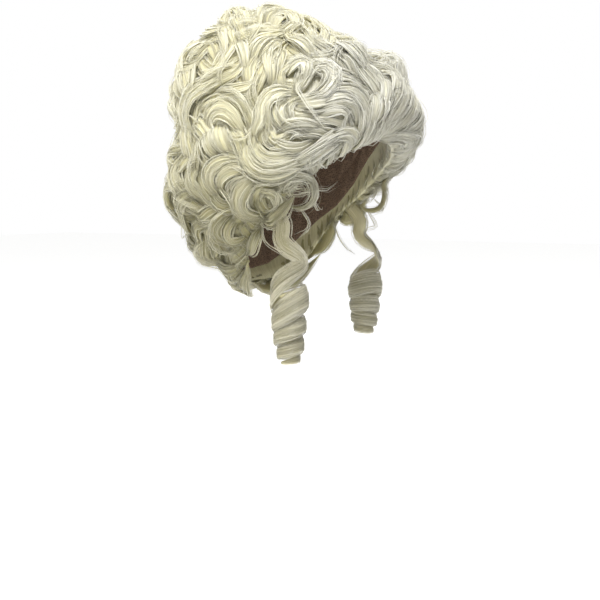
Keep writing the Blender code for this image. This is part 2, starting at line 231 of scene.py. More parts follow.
# Ringlets, with their size and place as in the part's source
RINGLET_RADIUS = 0.0185
RIGHT_RINGLET_LENGTH = 0.094
LEFT_RINGLET_LENGTH = 0.084
RINGLET_SETBACK = -0.033
RINGLET_TOP = -0.168
RINGLET_OFF_HEAD = 0.006
RINGLET_HANG_GAP = 0.004
RINGLET_ROOT_AZIMUTH = 92
RINGLET_ROOT_POLAR = 110
RINGLET_TAPER = 0.35
TAPER_POWER = 4

# Band of each ringlet, its strands, and the lead that comes down to it
RINGLET_DEPTH = 0.004
RINGLET_THICKNESS = 0.32
RINGLET_TILT = 0.10
RINGLET_STRANDS = 64
RINGLET_STARTS = (0, 0.03)
RINGLET_STOPS = (0.95, 1.0)
RINGLET_PLACE = (0.1, 0.9)
RINGLET_SPREAD = 1.02
RINGLET_SIDLE = 0.07
RINGLET_PACE = (8, 24)
RINGLET_FRIZZ = 0.0005
RINGLET_ROUNDNESS = 0.2
RINGLET_FINENESS = (0.6, 1.2)
# The ringlet's core is lower in tone than its strands, as painted shade under them
RINGLET_CORE_SHADE_TONE = 0.32
RINGLET_TONE = 0.50
RINGLET_VARIES = 0.12
# Painted highlights along the band's edges, and painted shade down its middle
RINGLET_EDGE_SHINE = 0.36
TURN_STEPS = 18
LEAD_STEPS = 16
LEAD_BEHIND = 0.008
LEAD_HIGH = 0.040
LEAD_LOW = 0.021
LEAD_EASE = 0.15
LEAD_END = 0.3
SWING_START = 0.45
SWING_RUN = 0.6
# Painted shade on the lead, fading out over the first LEAD_SHARE of the band's length
LEAD_SHADE = 0.30
LEAD_SHARE = 0.22

# Camera, at the photo's angle, with its frame in pixels
FRAME_PIXELS = 600
CAMERA_AZIMUTH = -60
CAMERA_ELEVATION = 6
CAMERA_DISTANCE = 1.0
PIXEL = 0.001045
TARGET = Vector((0, 0, -0.212))
TARGET_SHIFT = -2
SENSOR = 36
FLOOR_HEIGHT = -0.42
FLOOR_HALF_WIDTH = 6
FLOOR_GLOW = 0.45
SKY_LIGHT = 0.60
LAMP_AIM = Vector((0, 0, -0.1))

# Seeds of the random draws
LAYING_SEED = 11
STRAND_SEED = 5

Rim = namedtuple("Rim", "azimuth cap hair")
Volume = namedtuple("Volume", "polar crown front side back")
Dip = namedtuple("Dip", "azimuth polar reach depth")
Lock = namedtuple("Lock", "width lift path")
Turn = namedtuple("Turn", "turn width fall lean")
Laid = namedtuple("Laid", "points width lift roll fill")
Band = namedtuple("Band", "line across out half thick")
Lamp = namedtuple("Lamp", "name place size power")

LAMPS = [
    Lamp("key", (-1.0, -0.3, 1.2), 0.6, 36),
    Lamp("top", (0.1, 0.2, 1.6), 0.8, 6),
    Lamp("far side", (1.5, 0.7, 0.9), 1.2, 10),
]

RIM = [Rim(*row) for row in (
    (0, 67.5, 74),
    (25, 70, 82),
    (45, 76, 92),
    (60, 86, 103),
    (72, 101, 114),
    (84, 117, 122),
    (97, 123, 131),
    (112, 130, 144),
    (130, 139, 150),
    (150, 145, 153),
    (180, 148, 154),
)]

VOLUMES = [Volume(*row) for row in (
    (0, 1.00, 0.00, 0.00, 0.00),
    (15, 0.86, 0.00, 0.16, 0.34),
    (30, 0.55, 0.14, 0.52, 0.74),
    (45, 0.28, 0.50, 0.80, 0.96),
    (60, 0.08, 0.78, 0.98, 0.90),
    (75, 0.00, 0.94, 1.00, 0.66),
    (90, 0.00, 0.84, 0.90, 0.62),
    (105, 0.00, 0.60, 0.76, 0.70),
    (120, 0.00, 0.44, 0.60, 0.58),
    (135, 0.00, 0.30, 0.50, 0.50),
    (150, 0.00, 0.20, 0.42, 0.46),
)]

# Soft dips and swells of the hair's outline, on both sides
DIPS = [Dip(*row) for row in (
    (25, 20, 12, 0.025),
    (30, 41, 8, -0.008),
    (30, 56, 8, 0.010),
    (30, 68, 8, 0.009),
    (150, 17.5, 3.5, 0.018),
    (150, 25, 5, -0.005),
    (150, 78, 9, 0.017),
    (150, 95, 7, 0.010),
    (150, 119, 11, 0.012),
    (122, 138, 7, 0.014),
    (138, 141, 7, 0.021),
    (154, 142, 7, 0.021),
    (168, 142, 7, 0.016),
    (180, 142, 7, 0.014),
)]

# Band of a ringlet, by turns from the start of its coil: its lead comes first. Fall is a share of the
# length, and lean says how far each turn slopes down towards the back, as a share of the radius
TURNS = [Turn(*row) for row in (
    (-1.0, 0.019, 0.00, 0.00),
    (-0.5, 0.021, 0.00, 0.00),
    (-0.1, 0.015, 0.00, 0.00),
    (0.0, 0.015, 0.02, 0.05),
    (0.5, 0.024, 0.31, 0.66),
    (1.0, 0.026, 0.43, 0.54),
    (1.5, 0.017, 0.56, 0.40),
    (2.0, 0.017, 0.66, 0.20),
    (3.0, 0.016, 0.84, 0.08),
    (3.9, 0.011, 0.97, 0.08),
    (4.4, 0.004, 1.01, 0.08),
)]

# Locks that the photo shows: width in metres, lift as a share, and the spots of the frame that each passes
SEEN_LOCKS = [Lock(*row) for row in (
    (0.015, 1.0, ((223, 28), (227, 15), (234, 7), (242, 14), (249, 27))),
    (0.012, 0.7, ((226, 32), (231, 20), (236, 16), (240, 28), (244, 38))),
    (0.020, 0.6, ((219, 28), (200, 33), (190, 48), (184, 64), (181, 87), (182, 102))),
    (0.009, 1.1, ((217, 25), (224, 37), (226, 48), (221, 60), (214, 66))),
    (0.008, 1.1, ((234, 36), (242, 45), (246, 56), (245, 68), (248, 76))),
    (0.004, 1.3, ((236, 45), (236, 57), (229, 67), (217, 72), (201, 71), (195, 64))),
    (0.016, 0.7, ((244, 41), (258, 35), (273, 33), (286, 26))),
    (0.013, 1.0, ((249, 64), (258, 52), (270, 39), (279, 33))),
    (0.012, 0.9, ((256, 66), (266, 54), (276, 42), (284, 36))),
    (0.011, 1.0, ((272, 44), (270, 60), (272, 74), (269, 90))),
    (0.010, 0.8, ((278, 44), (279, 60), (275, 72), (281, 84))),
    (0.010, 0.8, ((185, 62), (181, 78), (181, 92), (184, 105))),
    (0.009, 0.9, ((192, 62), (195, 79), (190, 94), (187, 106))),
    (0.015, 1.0, ((222, 73), (210, 82), (198, 92), (190, 104), (186, 117), (187, 132), (188, 146))),
    (0.017, 1.1, ((203, 134), (209, 121), (221, 112), (233, 117), (240, 130), (246, 139))),
    (0.012, 0.9, ((204, 127), (210, 140), (213, 152), (222, 161))),
    (0.015, 0.9, ((217, 115), (221, 131), (226, 147), (233, 158))),
    (0.010, 1.1, ((255, 98), (260, 109), (261, 121), (254, 132), (253, 143))),
    (0.004, 1.4, ((260, 64), (258, 78), (255, 90), (257, 103), (262, 116))),
    (0.010, 0.8, ((216, 86), (230, 92), (245, 90), (256, 83), (260, 72))),
    (0.013, 0.7, ((212, 98), (220, 96), (234, 101), (243, 110), (247, 124))),
    (0.013, 1.2, ((296, 88), (280, 92), (268, 102), (265, 115), (270, 127), (281, 133))),
    (0.013, 0.8, ((292, 96), (283, 103), (280, 114), (286, 125), (297, 127))),
    (0.005, 1.5, ((305, 66), (301, 79), (296, 89), (303, 102), (311, 113), (323, 124), (336, 131))),
    (0.009, 1.2, ((281, 73), (290, 67), (303, 65), (305, 74), (299, 86))),
    (0.013, 1.0, ((306, 77), (312, 69), (325, 69), (331, 81), (323, 92), (311, 95), (305, 88))),
    (0.016, 1.3, ((246, 132), (243, 148), (252, 165), (267, 173), (285, 170), (305, 160), (320, 147))),
    (0.014, 1.1, ((254, 132), (254, 147), (265, 159), (281, 161), (298, 155), (312, 146))),
    (0.012, 0.9, ((271, 131), (273, 143), (285, 150), (301, 149), (314, 141), (322, 136))),
    (0.008, 1.2, ((274, 133), (286, 126), (299, 124), (314, 125), (328, 129))),
    (0.003, 1.0, ((279, 139), (291, 133), (303, 140), (312, 137))),
    (0.003, 1.0, ((287, 143), (297, 135), (308, 132))),
    (0.015, 0.9, ((258, 16), (265, 9), (277, 4), (289, 9), (296, 17))),
    (0.014, 1.0, ((266, 22), (272, 13), (284, 11), (293, 18), (294, 29), (286, 36))),
    (0.010, 1.1, ((285, 32), (297, 41), (311, 51), (320, 60))),
    (0.015, 0.8, ((296, 14), (310, 15), (321, 26), (327, 39), (328, 52))),
    (0.013, 0.8, ((300, 24), (309, 30), (314, 41), (322, 50))),
    (0.014, 0.9, ((327, 34), (338, 31), (349, 37), (349, 46), (340, 51))),
    (0.014, 0.8, ((343, 56), (353, 48), (364, 47), (370, 52))),
    (0.017, 0.8, ((366, 52), (378, 48), (391, 50), (399, 61), (403, 75), (401, 88))),
    (0.012, 1.0, ((318, 53), (328, 66), (339, 77), (353, 82), (368, 88), (378, 96))),
    (0.014, 0.7, ((336, 50), (348, 62), (355, 76), (365, 84))),
    (0.013, 1.0, ((359, 54), (361, 68), (368, 80), (379, 92), (386, 101))),
    (0.012, 1.1, ((368, 71), (380, 67), (392, 76), (395, 90), (391, 107), (383, 121))),
    (0.013, 0.8, ((375, 78), (385, 80), (387, 92), (384, 106), (378, 121))),
    (0.014, 0.9, ((402, 72), (404, 90), (397, 109), (386, 124), (380, 133))),
    (0.014, 0.9, ((411, 84), (413, 104), (405, 121), (391, 134))),
    (0.013, 0.8, ((418, 97), (420, 115), (411, 130), (397, 138))),
    (0.014, 1.0, ((381, 133), (391, 143), (406, 146), (420, 140), (427, 129))),
    (0.012, 0.9, ((395, 139), (407, 138), (418, 132), (422, 121))),
    (0.014, 1.1, ((310, 98), (326, 94), (343, 92), (357, 98), (366, 109), (368, 121), (365, 131))),
    (0.013, 0.9, ((312, 105), (328, 102), (343, 101), (354, 108), (359, 120), (358, 130))),
    (0.010, 0.9, ((314, 113), (328, 110), (342, 110), (349, 118), (351, 127))),
    (0.018, 0.7, ((367, 88), (373, 101), (372, 116), (370, 130))),
    (0.012, 1.1, ((352, 134), (336, 139), (322, 148), (308, 157), (292, 165), (275, 172))),
    (0.005, 1.3, ((324, 139), (314, 150), (311, 162), (312, 176))),
    (0.011, 0.9, ((334, 140), (321, 150), (313, 162), (314, 175))),
    (0.011, 1.2, ((240, 160), (224, 161), (214, 169), (210, 182), (213, 195), (221, 202))),
    (0.011, 1.1, ((251, 171), (236, 169), (224, 177), (220, 189), (226, 200))),
    (0.014, 1.2, ((264, 177), (249, 182), (241, 195), (243, 209), (256, 219), (273, 221))),
    (0.013, 1.0, ((256, 214), (270, 220), (284, 218), (295, 211))),
    (0.007, 1.3, ((281, 190), (288, 176), (304, 175), (314, 186), (312, 201), (300, 210), (285, 208))),
    (0.005, 1.0, ((289, 196), (292, 185), (303, 184), (306, 194), (299, 202))),
    (0.005, 1.3, ((278, 184), (290, 173), (305, 175), (315, 188), (309, 205), (294, 212), (279, 207))),
    (0.004, 1.2, ((284, 199), (285, 186), (296, 179), (307, 184), (309, 197), (300, 206))),
    (0.004, 1.4, ((276, 181), (287, 187), (301, 190), (317, 188), (329, 190), (341, 181))),
    (0.003, 1.3, ((282, 192), (294, 194), (309, 192), (320, 187))),
    (0.003, 1.2, ((312, 197), (315, 206), (319, 213))),
    (0.003, 0.8, ((298, 206), (303, 213), (309, 221), (305, 232), (297, 240))),
    (0.003, 1.0, ((255, 222), (264, 237), (279, 250), (294, 266))),
    (0.007, 1.1, ((262, 205), (261, 196), (268, 191), (277, 197), (276, 207), (267, 211))),
    (0.014, 0.8, ((180, 153), (177, 168), (180, 184), (191, 202))),
    (0.012, 0.8, ((194, 160), (192, 177), (197, 192), (207, 204))),
    (0.010, 0.9, ((179, 149), (173, 153), (173, 165), (179, 172))),
    (0.017, 1.0, ((181, 176), (168, 184), (163, 197), (168, 210), (180, 219))),
    (0.013, 0.8, ((194, 192), (183, 199), (184, 213), (196, 222))),
    (0.013, 0.9, ((182, 222), (185, 236), (197, 247), (212, 250))),
    (0.013, 0.9, ((233, 212), (222, 219), (219, 231), (227, 243), (239, 246))),
    (0.008, 1.1, ((236, 216), (229, 226), (231, 237), (240, 240), (252, 233))),
    (0.013, 0.8, ((256, 222), (254, 236), (250, 250), (240, 262))),
    (0.016, 0.9, ((214, 252), (222, 264), (236, 270), (249, 262))),
    (0.015, 1.0, ((222, 268), (226, 284), (239, 295), (251, 288), (254, 274))),
    (0.012, 0.8, ((232, 262), (237, 276), (245, 283), (253, 268))),
    (0.013, 0.8, ((199, 232), (203, 247), (213, 259), (228, 262))),
)]


def unit(vectors):
    """Vectors of length one."""
    return vectors / np.maximum(np.linalg.norm(vectors, axis=-1, keepdims=True), 1e-12)


def bearing(azimuth, polar):
    """Unit vectors, by degrees round from the face and down from the crown."""
    round_angle, down_angle = np.radians(azimuth), np.radians(polar)
    level = np.sin(down_angle)
    parts = (level * np.sin(round_angle), -level * np.cos(round_angle), np.cos(down_angle))
    return np.stack(parts, axis=-1)


def angles_of(points):
    """Degrees round and down of points."""
    ray = unit(points - HEART)
    down = np.arccos(np.clip(ray[..., 2], -1, 1))
    return np.degrees(np.arctan2(ray[..., 0], -ray[..., 1])), np.degrees(down)


def head_radius(azimuth, polar):
    """Distance from the heart to the head's surface, found by halving the gap."""
    halvings = 24
    ray = bearing(azimuth, polar)
    inner = np.zeros(ray.shape[:-1])
    outer = inner + 2 * (CROWN_TO_WIDEST + WIDEST_TO_BASE)
    for _ in range(halvings):
        middle = (inner + outer) / 2
        spot = HEART + ray * middle[..., None]
        depth = np.where(spot[..., 1] < 0, HEAD_FRONT, HEAD_BACK)
        height = spot[..., 2] + CROWN_TO_WIDEST
        rise = np.where(height > 0, CROWN_TO_WIDEST, WIDEST_TO_BASE)
        reach = (
            np.abs(spot[..., 0] / HEAD_HALF_WIDTH) ** HEAD_SQUARENESS
            + np.abs(spot[..., 1] / depth) ** HEAD_SQUARENESS
            + np.abs(height / rise) ** HEAD_SQUARENESS
        )
        inner = np.where(reach < 1, middle, inner)
        outer = np.where(reach < 1, outer, middle)
    return inner


def reading(rows, at, field):
    """One column of a table, read between its rows by their first column."""
    return np.interp(at, [row[0] for row in rows], [getattr(row, field) for row in rows])


def off_face(azimuth):
    """Degrees to either side of the face."""
    return np.abs((np.asarray(azimuth) + 180) % 360 - 180)


def rim_polar(azimuth, edge="hair"):
    """Polar angle of the edge of the cap or of the hair."""
    return reading(RIM, off_face(azimuth), edge)


def hair_stand_off(azimuth, polar):
    """Thickness of the hair's mass over the head, rounded off to its edge."""
    facing = np.cos(np.radians(azimuth))
    share = {field: reading(VOLUMES, polar, field) for field in Volume._fields[1:]}
    end = np.where(facing > 0, share["front"] * FRONT_VOLUME, share["back"] * BACK_VOLUME)
    side = share["side"] * SIDE_VOLUME
    full = share["crown"] * CROWN_VOLUME + end * facing**2 + side * (1 - facing**2)
    turned = off_face(azimuth)
    for dip in DIPS:
        away = ((turned - dip.azimuth) * np.sin(np.radians(polar))) ** 2 + (polar - dip.polar) ** 2
        full = full - dip.depth * np.exp(-away / dip.reach**2)
    down = np.minimum(1, polar / rim_polar(azimuth))
    return np.maximum(full, 0) * np.sqrt(1 - down**RIM_ROUNDING)


def hair_radius(azimuth, polar):
    """Distance from the heart to the surface of the hair's mass."""
    return head_radius(azimuth, polar) + hair_stand_off(azimuth, polar) + CAP_WALL


def on_hair(points, lift=0.0):
    """Points moved to stand a distance off the hair's mass, and never in the cap."""
    azimuth, polar = angles_of(points)
    off_cap = np.maximum(hair_stand_off(azimuth, polar) + lift, LOCK_CLEAR)
    radius = head_radius(azimuth, polar) + CAP_WALL + off_cap
    return HEART + bearing(azimuth, polar) * radius[..., None]


def off_hair(points):
    """Height of points over the hair's mass."""
    return np.linalg.norm(points - HEART, axis=-1) - hair_radius(*angles_of(points))


def outward(points):
    """Directions out of the hair's surface."""
    reach = 0.002
    slopes = [off_hair(points + step) - off_hair(points - step) for step in np.eye(3) * reach]
    return unit(np.stack(slopes, axis=-1))


def camera_axes():
    """Directions back from the view, to its right and up it."""
    round_angle, up_angle = math.radians(CAMERA_AZIMUTH), math.radians(CAMERA_ELEVATION)
    level = math.cos(up_angle)
    back = Vector((math.sin(round_angle) * level, -math.cos(round_angle) * level, math.sin(up_angle)))
    right = Vector((math.cos(round_angle), math.sin(round_angle), 0))
    return back, right, back.cross(right)


def camera_place():
    """Where the camera stands."""
    back, right, _ = camera_axes()
    return TARGET + right * (TARGET_SHIFT * PIXEL) + back * CAMERA_DISTANCE


def seen_on_hair(path, lift):
    """Points of the hair, raised by a lift, that show at spots of the photo's frame."""
    back, right, up = (np.array(axis) for axis in camera_axes())
    spots = np.array(path, float)
    middle = FRAME_PIXELS / 2
    rays = unit(
        -back * CAMERA_DISTANCE
        + right * ((spots[:, :1] - middle) * PIXEL)
        + up * ((middle - spots[:, 1:]) * PIXEL)
    )
    nearest, farthest, step = CAMERA_DISTANCE - 0.25, CAMERA_DISTANCE + 0.15, 0.002
    reaches = np.arange(nearest, farthest, step)
    eye = np.array(camera_place())
    marks = eye + rays[:, None] * reaches[None, :, None]
    heights = off_hair(marks) - lift
    inside = heights < 0
    first = np.where(inside.any(axis=1), inside.argmax(axis=1), heights.argmin(axis=1))
    reach = reaches[first]
    wide = PIXEL * np.linalg.norm(np.diff(spots, axis=0), axis=1).sum()
    held = np.median(reach) + (reach - np.median(reach)) * min(1, wide / max(np.ptp(reach), step))
    return on_hair(eye + rays * held[:, None])


def smooth_path(corners, steps):
    """Even points on a smooth curve through corners."""
    fine_steps = 8
    ends = np.vstack((2 * corners[:1] - corners[1:2], corners, 2 * corners[-1:] - corners[-2:-1]))
    part = np.linspace(0, 1, fine_steps, endpoint=False)[:, None]
    pieces = []
    for before, start, end, after in zip(ends, ends[1:], ends[2:], ends[3:]):
        bend = (2 * before - 5 * start + 4 * end - after) * part**2
        twist = (3 * start - before - 3 * end + after) * part**3
        pieces.append(start + ((end - before) * part + bend + twist) / 2)
    fine = np.vstack(pieces + [corners[-1:]])
    lengths = np.append(0, np.cumsum(np.linalg.norm(np.diff(fine, axis=0), axis=1)))
    even = np.linspace(0, lengths[-1], steps)
    return np.stack([np.interp(even, lengths, fine[:, axis]) for axis in range(3)], axis=1)


def between(values, shares):
    """Values along a lock, read at shares of its length."""
    place = np.clip(shares, 0, 1) * (len(values) - 1)
    before = np.minimum(place.astype(int), len(values) - 2)
    part = (place - before).reshape(place.shape + (1,) * (values.ndim - 1))
    return values[before] * (1 - part) + values[before + 1] * part


def swell(share):
    """Share of a lock's full width along it: drawn in at its root and more at its tip."""
    root, tip = 0.30, 0.08
    root_run, tip_run = 0.35, 0.50
    rise = root + (1 - root) * np.sin(np.minimum(1, share / root_run) * math.pi / 2)
    fall = tip + (1 - tip) * np.sin(np.minimum(1, (1 - share) / tip_run) * math.pi / 2)
    return np.minimum(rise, fall)


def rings_round(centres, across, out, half_width, half_thickness, sides):
    """Rings of vertices round lines of centres, the first of each ring on its inner side."""
    turned = 2 * math.pi * np.arange(sides) / sides - math.pi
    outer = np.cos(turned)[:, None] * (half_thickness[..., None, None] * out[..., None, :])
    beside = np.sin(turned)[:, None] * (half_width[..., None, None] * across[..., None, :])
    return centres[..., None, :] + outer + beside


def flow_round(half_width, lengths, sides, own):
    """Distance across and along a strand and its own number, for every vertex of its rings."""
    turned = 2 * math.pi * np.arange(sides) / sides - math.pi
    shape = half_width.shape + (sides,)
    across = np.broadcast_to(turned * half_width.max(), shape)
    along = np.broadcast_to(lengths[..., None], shape)
    return np.stack((across, along, np.broadcast_to(own, shape)), axis=-1)


def run_length(points):
    """Distance along lines of points."""
    steps = np.linalg.norm(np.diff(points, axis=-2), axis=-1)
    return np.concatenate((np.zeros(steps.shape[:-1] + (1,)), np.cumsum(steps, axis=-1)), axis=-1)


def lock_axes(points, roll):
    """Directions across and out of a lock along its line, rolled over in its middle."""
    tangent = unit(np.gradient(points, axis=0))
    across = unit(np.cross(tangent, outward(points)))
    out = np.cross(across, tangent)
    turned = (roll * np.sin(math.pi * np.linspace(0, 1, len(points))))[:, None]
    return across * np.cos(turned) + out * np.sin(turned), out * np.cos(turned) - across * np.sin(turned)


def lock_body(band, chance):
    """Core of a band of hair, rippled in bundles along its length, and its flow."""
    core = band.half * CORE_WIDTH
    parts = (band.line, band.across, band.out, core, band.thick)
    rings = rings_round(*(part[None] for part in parts), LOCK_SIDES)
    turned = 2 * math.pi * np.arange(LOCK_SIDES) / LOCK_SIDES
    share = np.linspace(0, 1, len(core))[:, None]
    ripple = np.zeros((len(core), LOCK_SIDES))
    for bundles in RIPPLE_BUNDLES:
        phase, drift = chance.uniform(0, 2 * math.pi), chance.uniform(-RIPPLE_DRIFT, RIPPLE_DRIFT)
        ripple += np.sin(bundles * turned + phase + drift * share)
    grown = 1 + RIPPLE * ripple
    centres = band.line[None, :, None]
    flow = flow_round(core[None], run_length(band.line)[None], LOCK_SIDES, chance.uniform(0, OWN_NUMBERS))
    return centres + (rings - centres) * grown[None, :, :, None], flow


def strands_over(band, shares, sidle, lift, away, roundness):
    """Lines of strands that lie over a band, each with its directions across and out."""
    crown = np.sqrt(np.maximum(0, 1 - np.minimum(1, np.abs(sidle)) ** 2))
    across, out = between(band.across, shares), between(band.out, shares)
    lines = (
        between(band.line, shares)
        + across * (sidle * between(band.half, shares) + away)[..., None]
        + out * (crown * between(band.thick, shares) + lift)[..., None]
    )
    facing = unit(out * (crown + roundness)[..., None] + across * sidle[..., None])
    tangent = unit(np.gradient(lines, axis=1))
    beside = unit(np.cross(tangent, facing))
    return lines, beside, np.cross(beside, tangent)


def strand_rings(strands, size, chance):
    """Rings of vertices round strands, and their flow."""
    lines, beside, facing = strands
    rings = rings_round(lines, beside, facing, size, size * STRAND_FLATNESS, STRAND_SIDES)
    own = chance.uniform(0, OWN_NUMBERS, (len(lines), 1, 1))
    return rings, flow_round(size, run_length(lines), STRAND_SIDES, own)


def strand_lines(band, count, chance, stray):
    """Strands that lie over a band in small bundles, and how each shines: tone that differs at random, with
    painted highlights at the band's edges and on a few bright strands.
    """
    begin = chance.uniform(*STRAND_STARTS, (count, 1))
    stop = chance.uniform(*STRAND_STOPS, (count, 1))
    shares = begin + (stop - begin) * np.linspace(0, 1, STRAND_STEPS)
    bundles = max(FEWEST_BUNDLES, count // STRANDS_A_BUNDLE)
    bundle = np.arange(count) * bundles // count
    place = (bundle + chance.uniform(*BUNDLE_PLACE, bundles)[bundle]) / bundles * 2 - 1
    spread = place[:, None] * STRAND_SPREAD + chance.normal(0, BUNDLE_SPREAD / bundles, (count, 1))
    phase = chance.uniform(0, FULL_WAVE, bundles)[bundle][:, None]
    phase = phase + chance.normal(0, BUNDLE_DRIFT, (count, 1))
    pace = chance.uniform(*STRAND_PACE, bundles)[bundle][:, None]
    sidle = spread + STRAND_SIDLE * np.sin(phase + shares * pace)
    arch = np.sin(math.pi * shares)
    lift = np.abs(chance.normal(0, FRIZZ, (count, 1))) * arch + STRAND_OFF
    away = 0.0
    if stray:
        lift = chance.uniform(*STRAY_LIFT, (count, 1)) * arch
        away = chance.normal(0, STRAY_AWAY, (count, 1)) * shares**2
    shine = chance.normal(0, SHINE_VARIES, bundles)[bundle] + chance.normal(0, SHINE_VARIES, count)
    # painted highlight on the strands towards the band's edges
    shine = shine + EDGE_SHINE * np.abs(spread[:, 0]) ** 3
    # painted highlight on a few strands picked at random
    shine = shine + BRIGHT_SHINE * (chance.random(count) < BRIGHT_SHARE)
    return strands_over(band, shares, sidle, lift, away, STRAND_ROUNDNESS), shine[:, None, None]


def strand_tone(lines, shine):
    """Lightness of strands, with painted shade: lower where the hair lies deep, and towards the nape."""
    # painted shade where the hair lies low over its mass
    rise = np.clip((off_hair(lines) - RISE_START) / RISE_REACH, 0, 1)
    # painted shade, darker towards the nape
    low = np.clip((angles_of(lines)[1] - LOW_START) / LOW_REACH, 0, 1)
    return np.clip(DEEP_TONE + RISE_TONE * rise - LOW_SHADE * low + shine, 0, 1)


def add_lock(group, laid, chance):
    """A band of hair with its strands and strays, added to a group of strands."""
    half = laid.width / 2 * swell(np.linspace(0, 1, LOCK_STEPS))
    band = Band(laid.points, *lock_axes(laid.points, laid.roll), half, half * LOCK_THICKNESS)
    # wisps' strands get WISP_SHINE, a painted highlight
    count, radius, gleam = round(laid.width / WISP_PITCH), STRAY_HALF_WIDTH, WISP_SHINE
    if laid.fill:
        body, flow = lock_body(band, chance)
        # the core's tone, lowered as painted shade under its strands
        group.append((body, flow, strand_tone(body, chance.normal(BODY_SHINE, BODY_VARIES))))
        count, radius, gleam = round(laid.width * laid.fill / STRAND_PITCH), STRAND_HALF_WIDTH, STRAND_SHINE
    strays = 2 if laid.lift > STRAYS_ABOVE else 1
    taper = swell(np.linspace(0, 1, STRAND_STEPS))
    for stray, number, fine in ((False, count, radius), (True, strays, STRAY_HALF_WIDTH)):
        strands, shine = strand_lines(band, number, chance, stray)
        size = fine * chance.uniform(*STRAND_FINENESS, (number, 1)) * taper
        rings, flow = strand_rings(strands, size, chance)
        group.append((rings, flow, strand_tone(rings, shine + gleam)))


def laid_lock(corners, width, lift, roll=0.0, fill=1.0):
    """Lock through corners on the hair, arched in its middle and sunk at its ends."""
    points = on_hair(smooth_path(corners, LOCK_STEPS))
    arch = np.sin(math.pi * np.linspace(0, 1, LOCK_STEPS)) ** ARCH_FULLNESS
    return Laid(on_hair(points, LOCK_ARCH * lift * arch - LOCK_SINK * (1 - arch)), width, lift, roll, fill)


def zone_of(point):
    """Name of the mass of hair that a point belongs to."""
    side, deep, high = point
    if deep < POMPADOUR_BACK and high > POMPADOUR_FOOT:
        return "pompadour"
    if deep > POMPADOUR_BACK and high > CROWN_FOOT:
        return "crown_curls"
    if deep > BACK_START:
        return "back_curls" if high > NAPE_TOP else "nape_curls"
    return "side_curls_left" if side > 0 else "side_curls_right"


def like(corners, side, turn, drop, chance):
    """The same corners on a hidden side, turned over where side is -1, with small shifts."""
    azimuth, polar = angles_of(corners)
    shift = chance.normal(0, LIKE_SHIFT, (2, len(corners)))
    return on_hair(HEART + bearing(side * azimuth + turn + shift[0], polar + drop + shift[1]))


def curl_corners(azimuth, polar, radius, start, sweep):
    """Corners of a loop round a spot of the hair."""
    spot = on_hair(HEART + bearing(azimuth, polar)[None])
    out = outward(spot)[0]
    along = unit(np.cross((0, 0, 1), out) + (0, 1e-6, 0))
    upward = np.cross(out, along)
    turned = np.radians(start + sweep * np.linspace(0, 1, CURL_CORNERS))[:, None]
    opened = np.linspace(*CURL_OPENING, CURL_CORNERS)[:, None]
    return on_hair(spot + (along * np.cos(turned) + upward * np.sin(turned)) * radius * opened)


def even_spots(count, turn):
    """Spots spread evenly over the hair, as degrees round and down."""
    number = np.arange(count) + 0.5
    polar = np.degrees(np.arccos(1 - 2 * number / count))
    azimuth = (number * GOLDEN_ANGLE + turn) % 360 - 180
    kept = polar < rim_polar(azimuth) - SPOT_MARGIN
    return azimuth[kept], polar[kept]


def guide_locks(chance):
    """Locks that lead the rest: those that the photo shows, their likes, and curls between."""
    locks = []
    for row in SEEN_LOCKS:
        wisp = row.width < WISP_WIDTH
        width = row.width * (1 if wisp else SEEN_WIDTH)
        corners = seen_on_hair(row.path, row.lift * LOCK_ARCH * SEEN_SETTLING)
        places = [corners]
        azimuth, polar = angles_of(corners.mean(axis=0))
        if LIKES_FROM < azimuth < LIKES_TO:
            places.append(like(corners, -1, LEFT_TURN, LEFT_DROP, chance))
        if LIKES_FROM < azimuth < BACK_LIKES_TO and polar > BACK_LIKES_BELOW:
            places.append(like(corners, 1, BACK_TURN, 0, chance))
        for place in places:
            locks.append(laid_lock(place, width, row.lift, chance.uniform(*ROLL), 0.0 if wisp else 1.0))
    view = np.array(camera_axes()[0])
    for azimuth, polar in zip(*even_spots(*CURL_SPOTS)):
        spot = on_hair(HEART + bearing(azimuth, polar)[None])
        taken = np.vstack([laid.points for laid in locks])
        hidden = outward(spot)[0] @ view < HIDDEN_FACING
        if np.linalg.norm(taken - spot, axis=1).min() < (HIDDEN_ROOM if hidden else SEEN_ROOM):
            continue
        sweep = chance.choice((-1, 1)) * chance.uniform(*CURL_SWEEP)
        corners = curl_corners(azimuth, polar, chance.uniform(*CURL_RADIUS), chance.uniform(0, 360), sweep)
        width, roll = chance.uniform(*CURL_WIDTH), chance.uniform(*ROLL)
        lift = chance.uniform(*CURL_LIFT) * (1 if hidden else SEEN_LIFT)
        locks.append(laid_lock(corners, width, lift, roll, CURL_FILL))
    return locks


def comb(points, ahead, spots, runs):
    """Directions of the hair at points, read from the locks near them, to the side each heads for."""
    gaps = (points**2).sum(axis=1)[:, None] + (spots**2).sum(axis=1) - 2 * points @ spots.T
    pull = (np.maximum(gaps, 0) + COMB_REACH**2) ** -2
    crossed = (runs[:, :, None] * runs[:, None]).reshape(-1, 9)
    spread = (pull / pull.sum(axis=1, keepdims=True) @ crossed).reshape(-1, 3, 3)
    way = np.linalg.eigh(spread)[1][..., -1]
    return way * np.where((way * ahead).sum(axis=1, keepdims=True) < 0, -1, 1)


def kept_in(points):
    """Points of the hair, held off its edge."""
    azimuth, polar = angles_of(points)
    return on_hair(HEART + bearing(azimuth, np.minimum(polar, rim_polar(azimuth) - LOCK_MARGIN)))


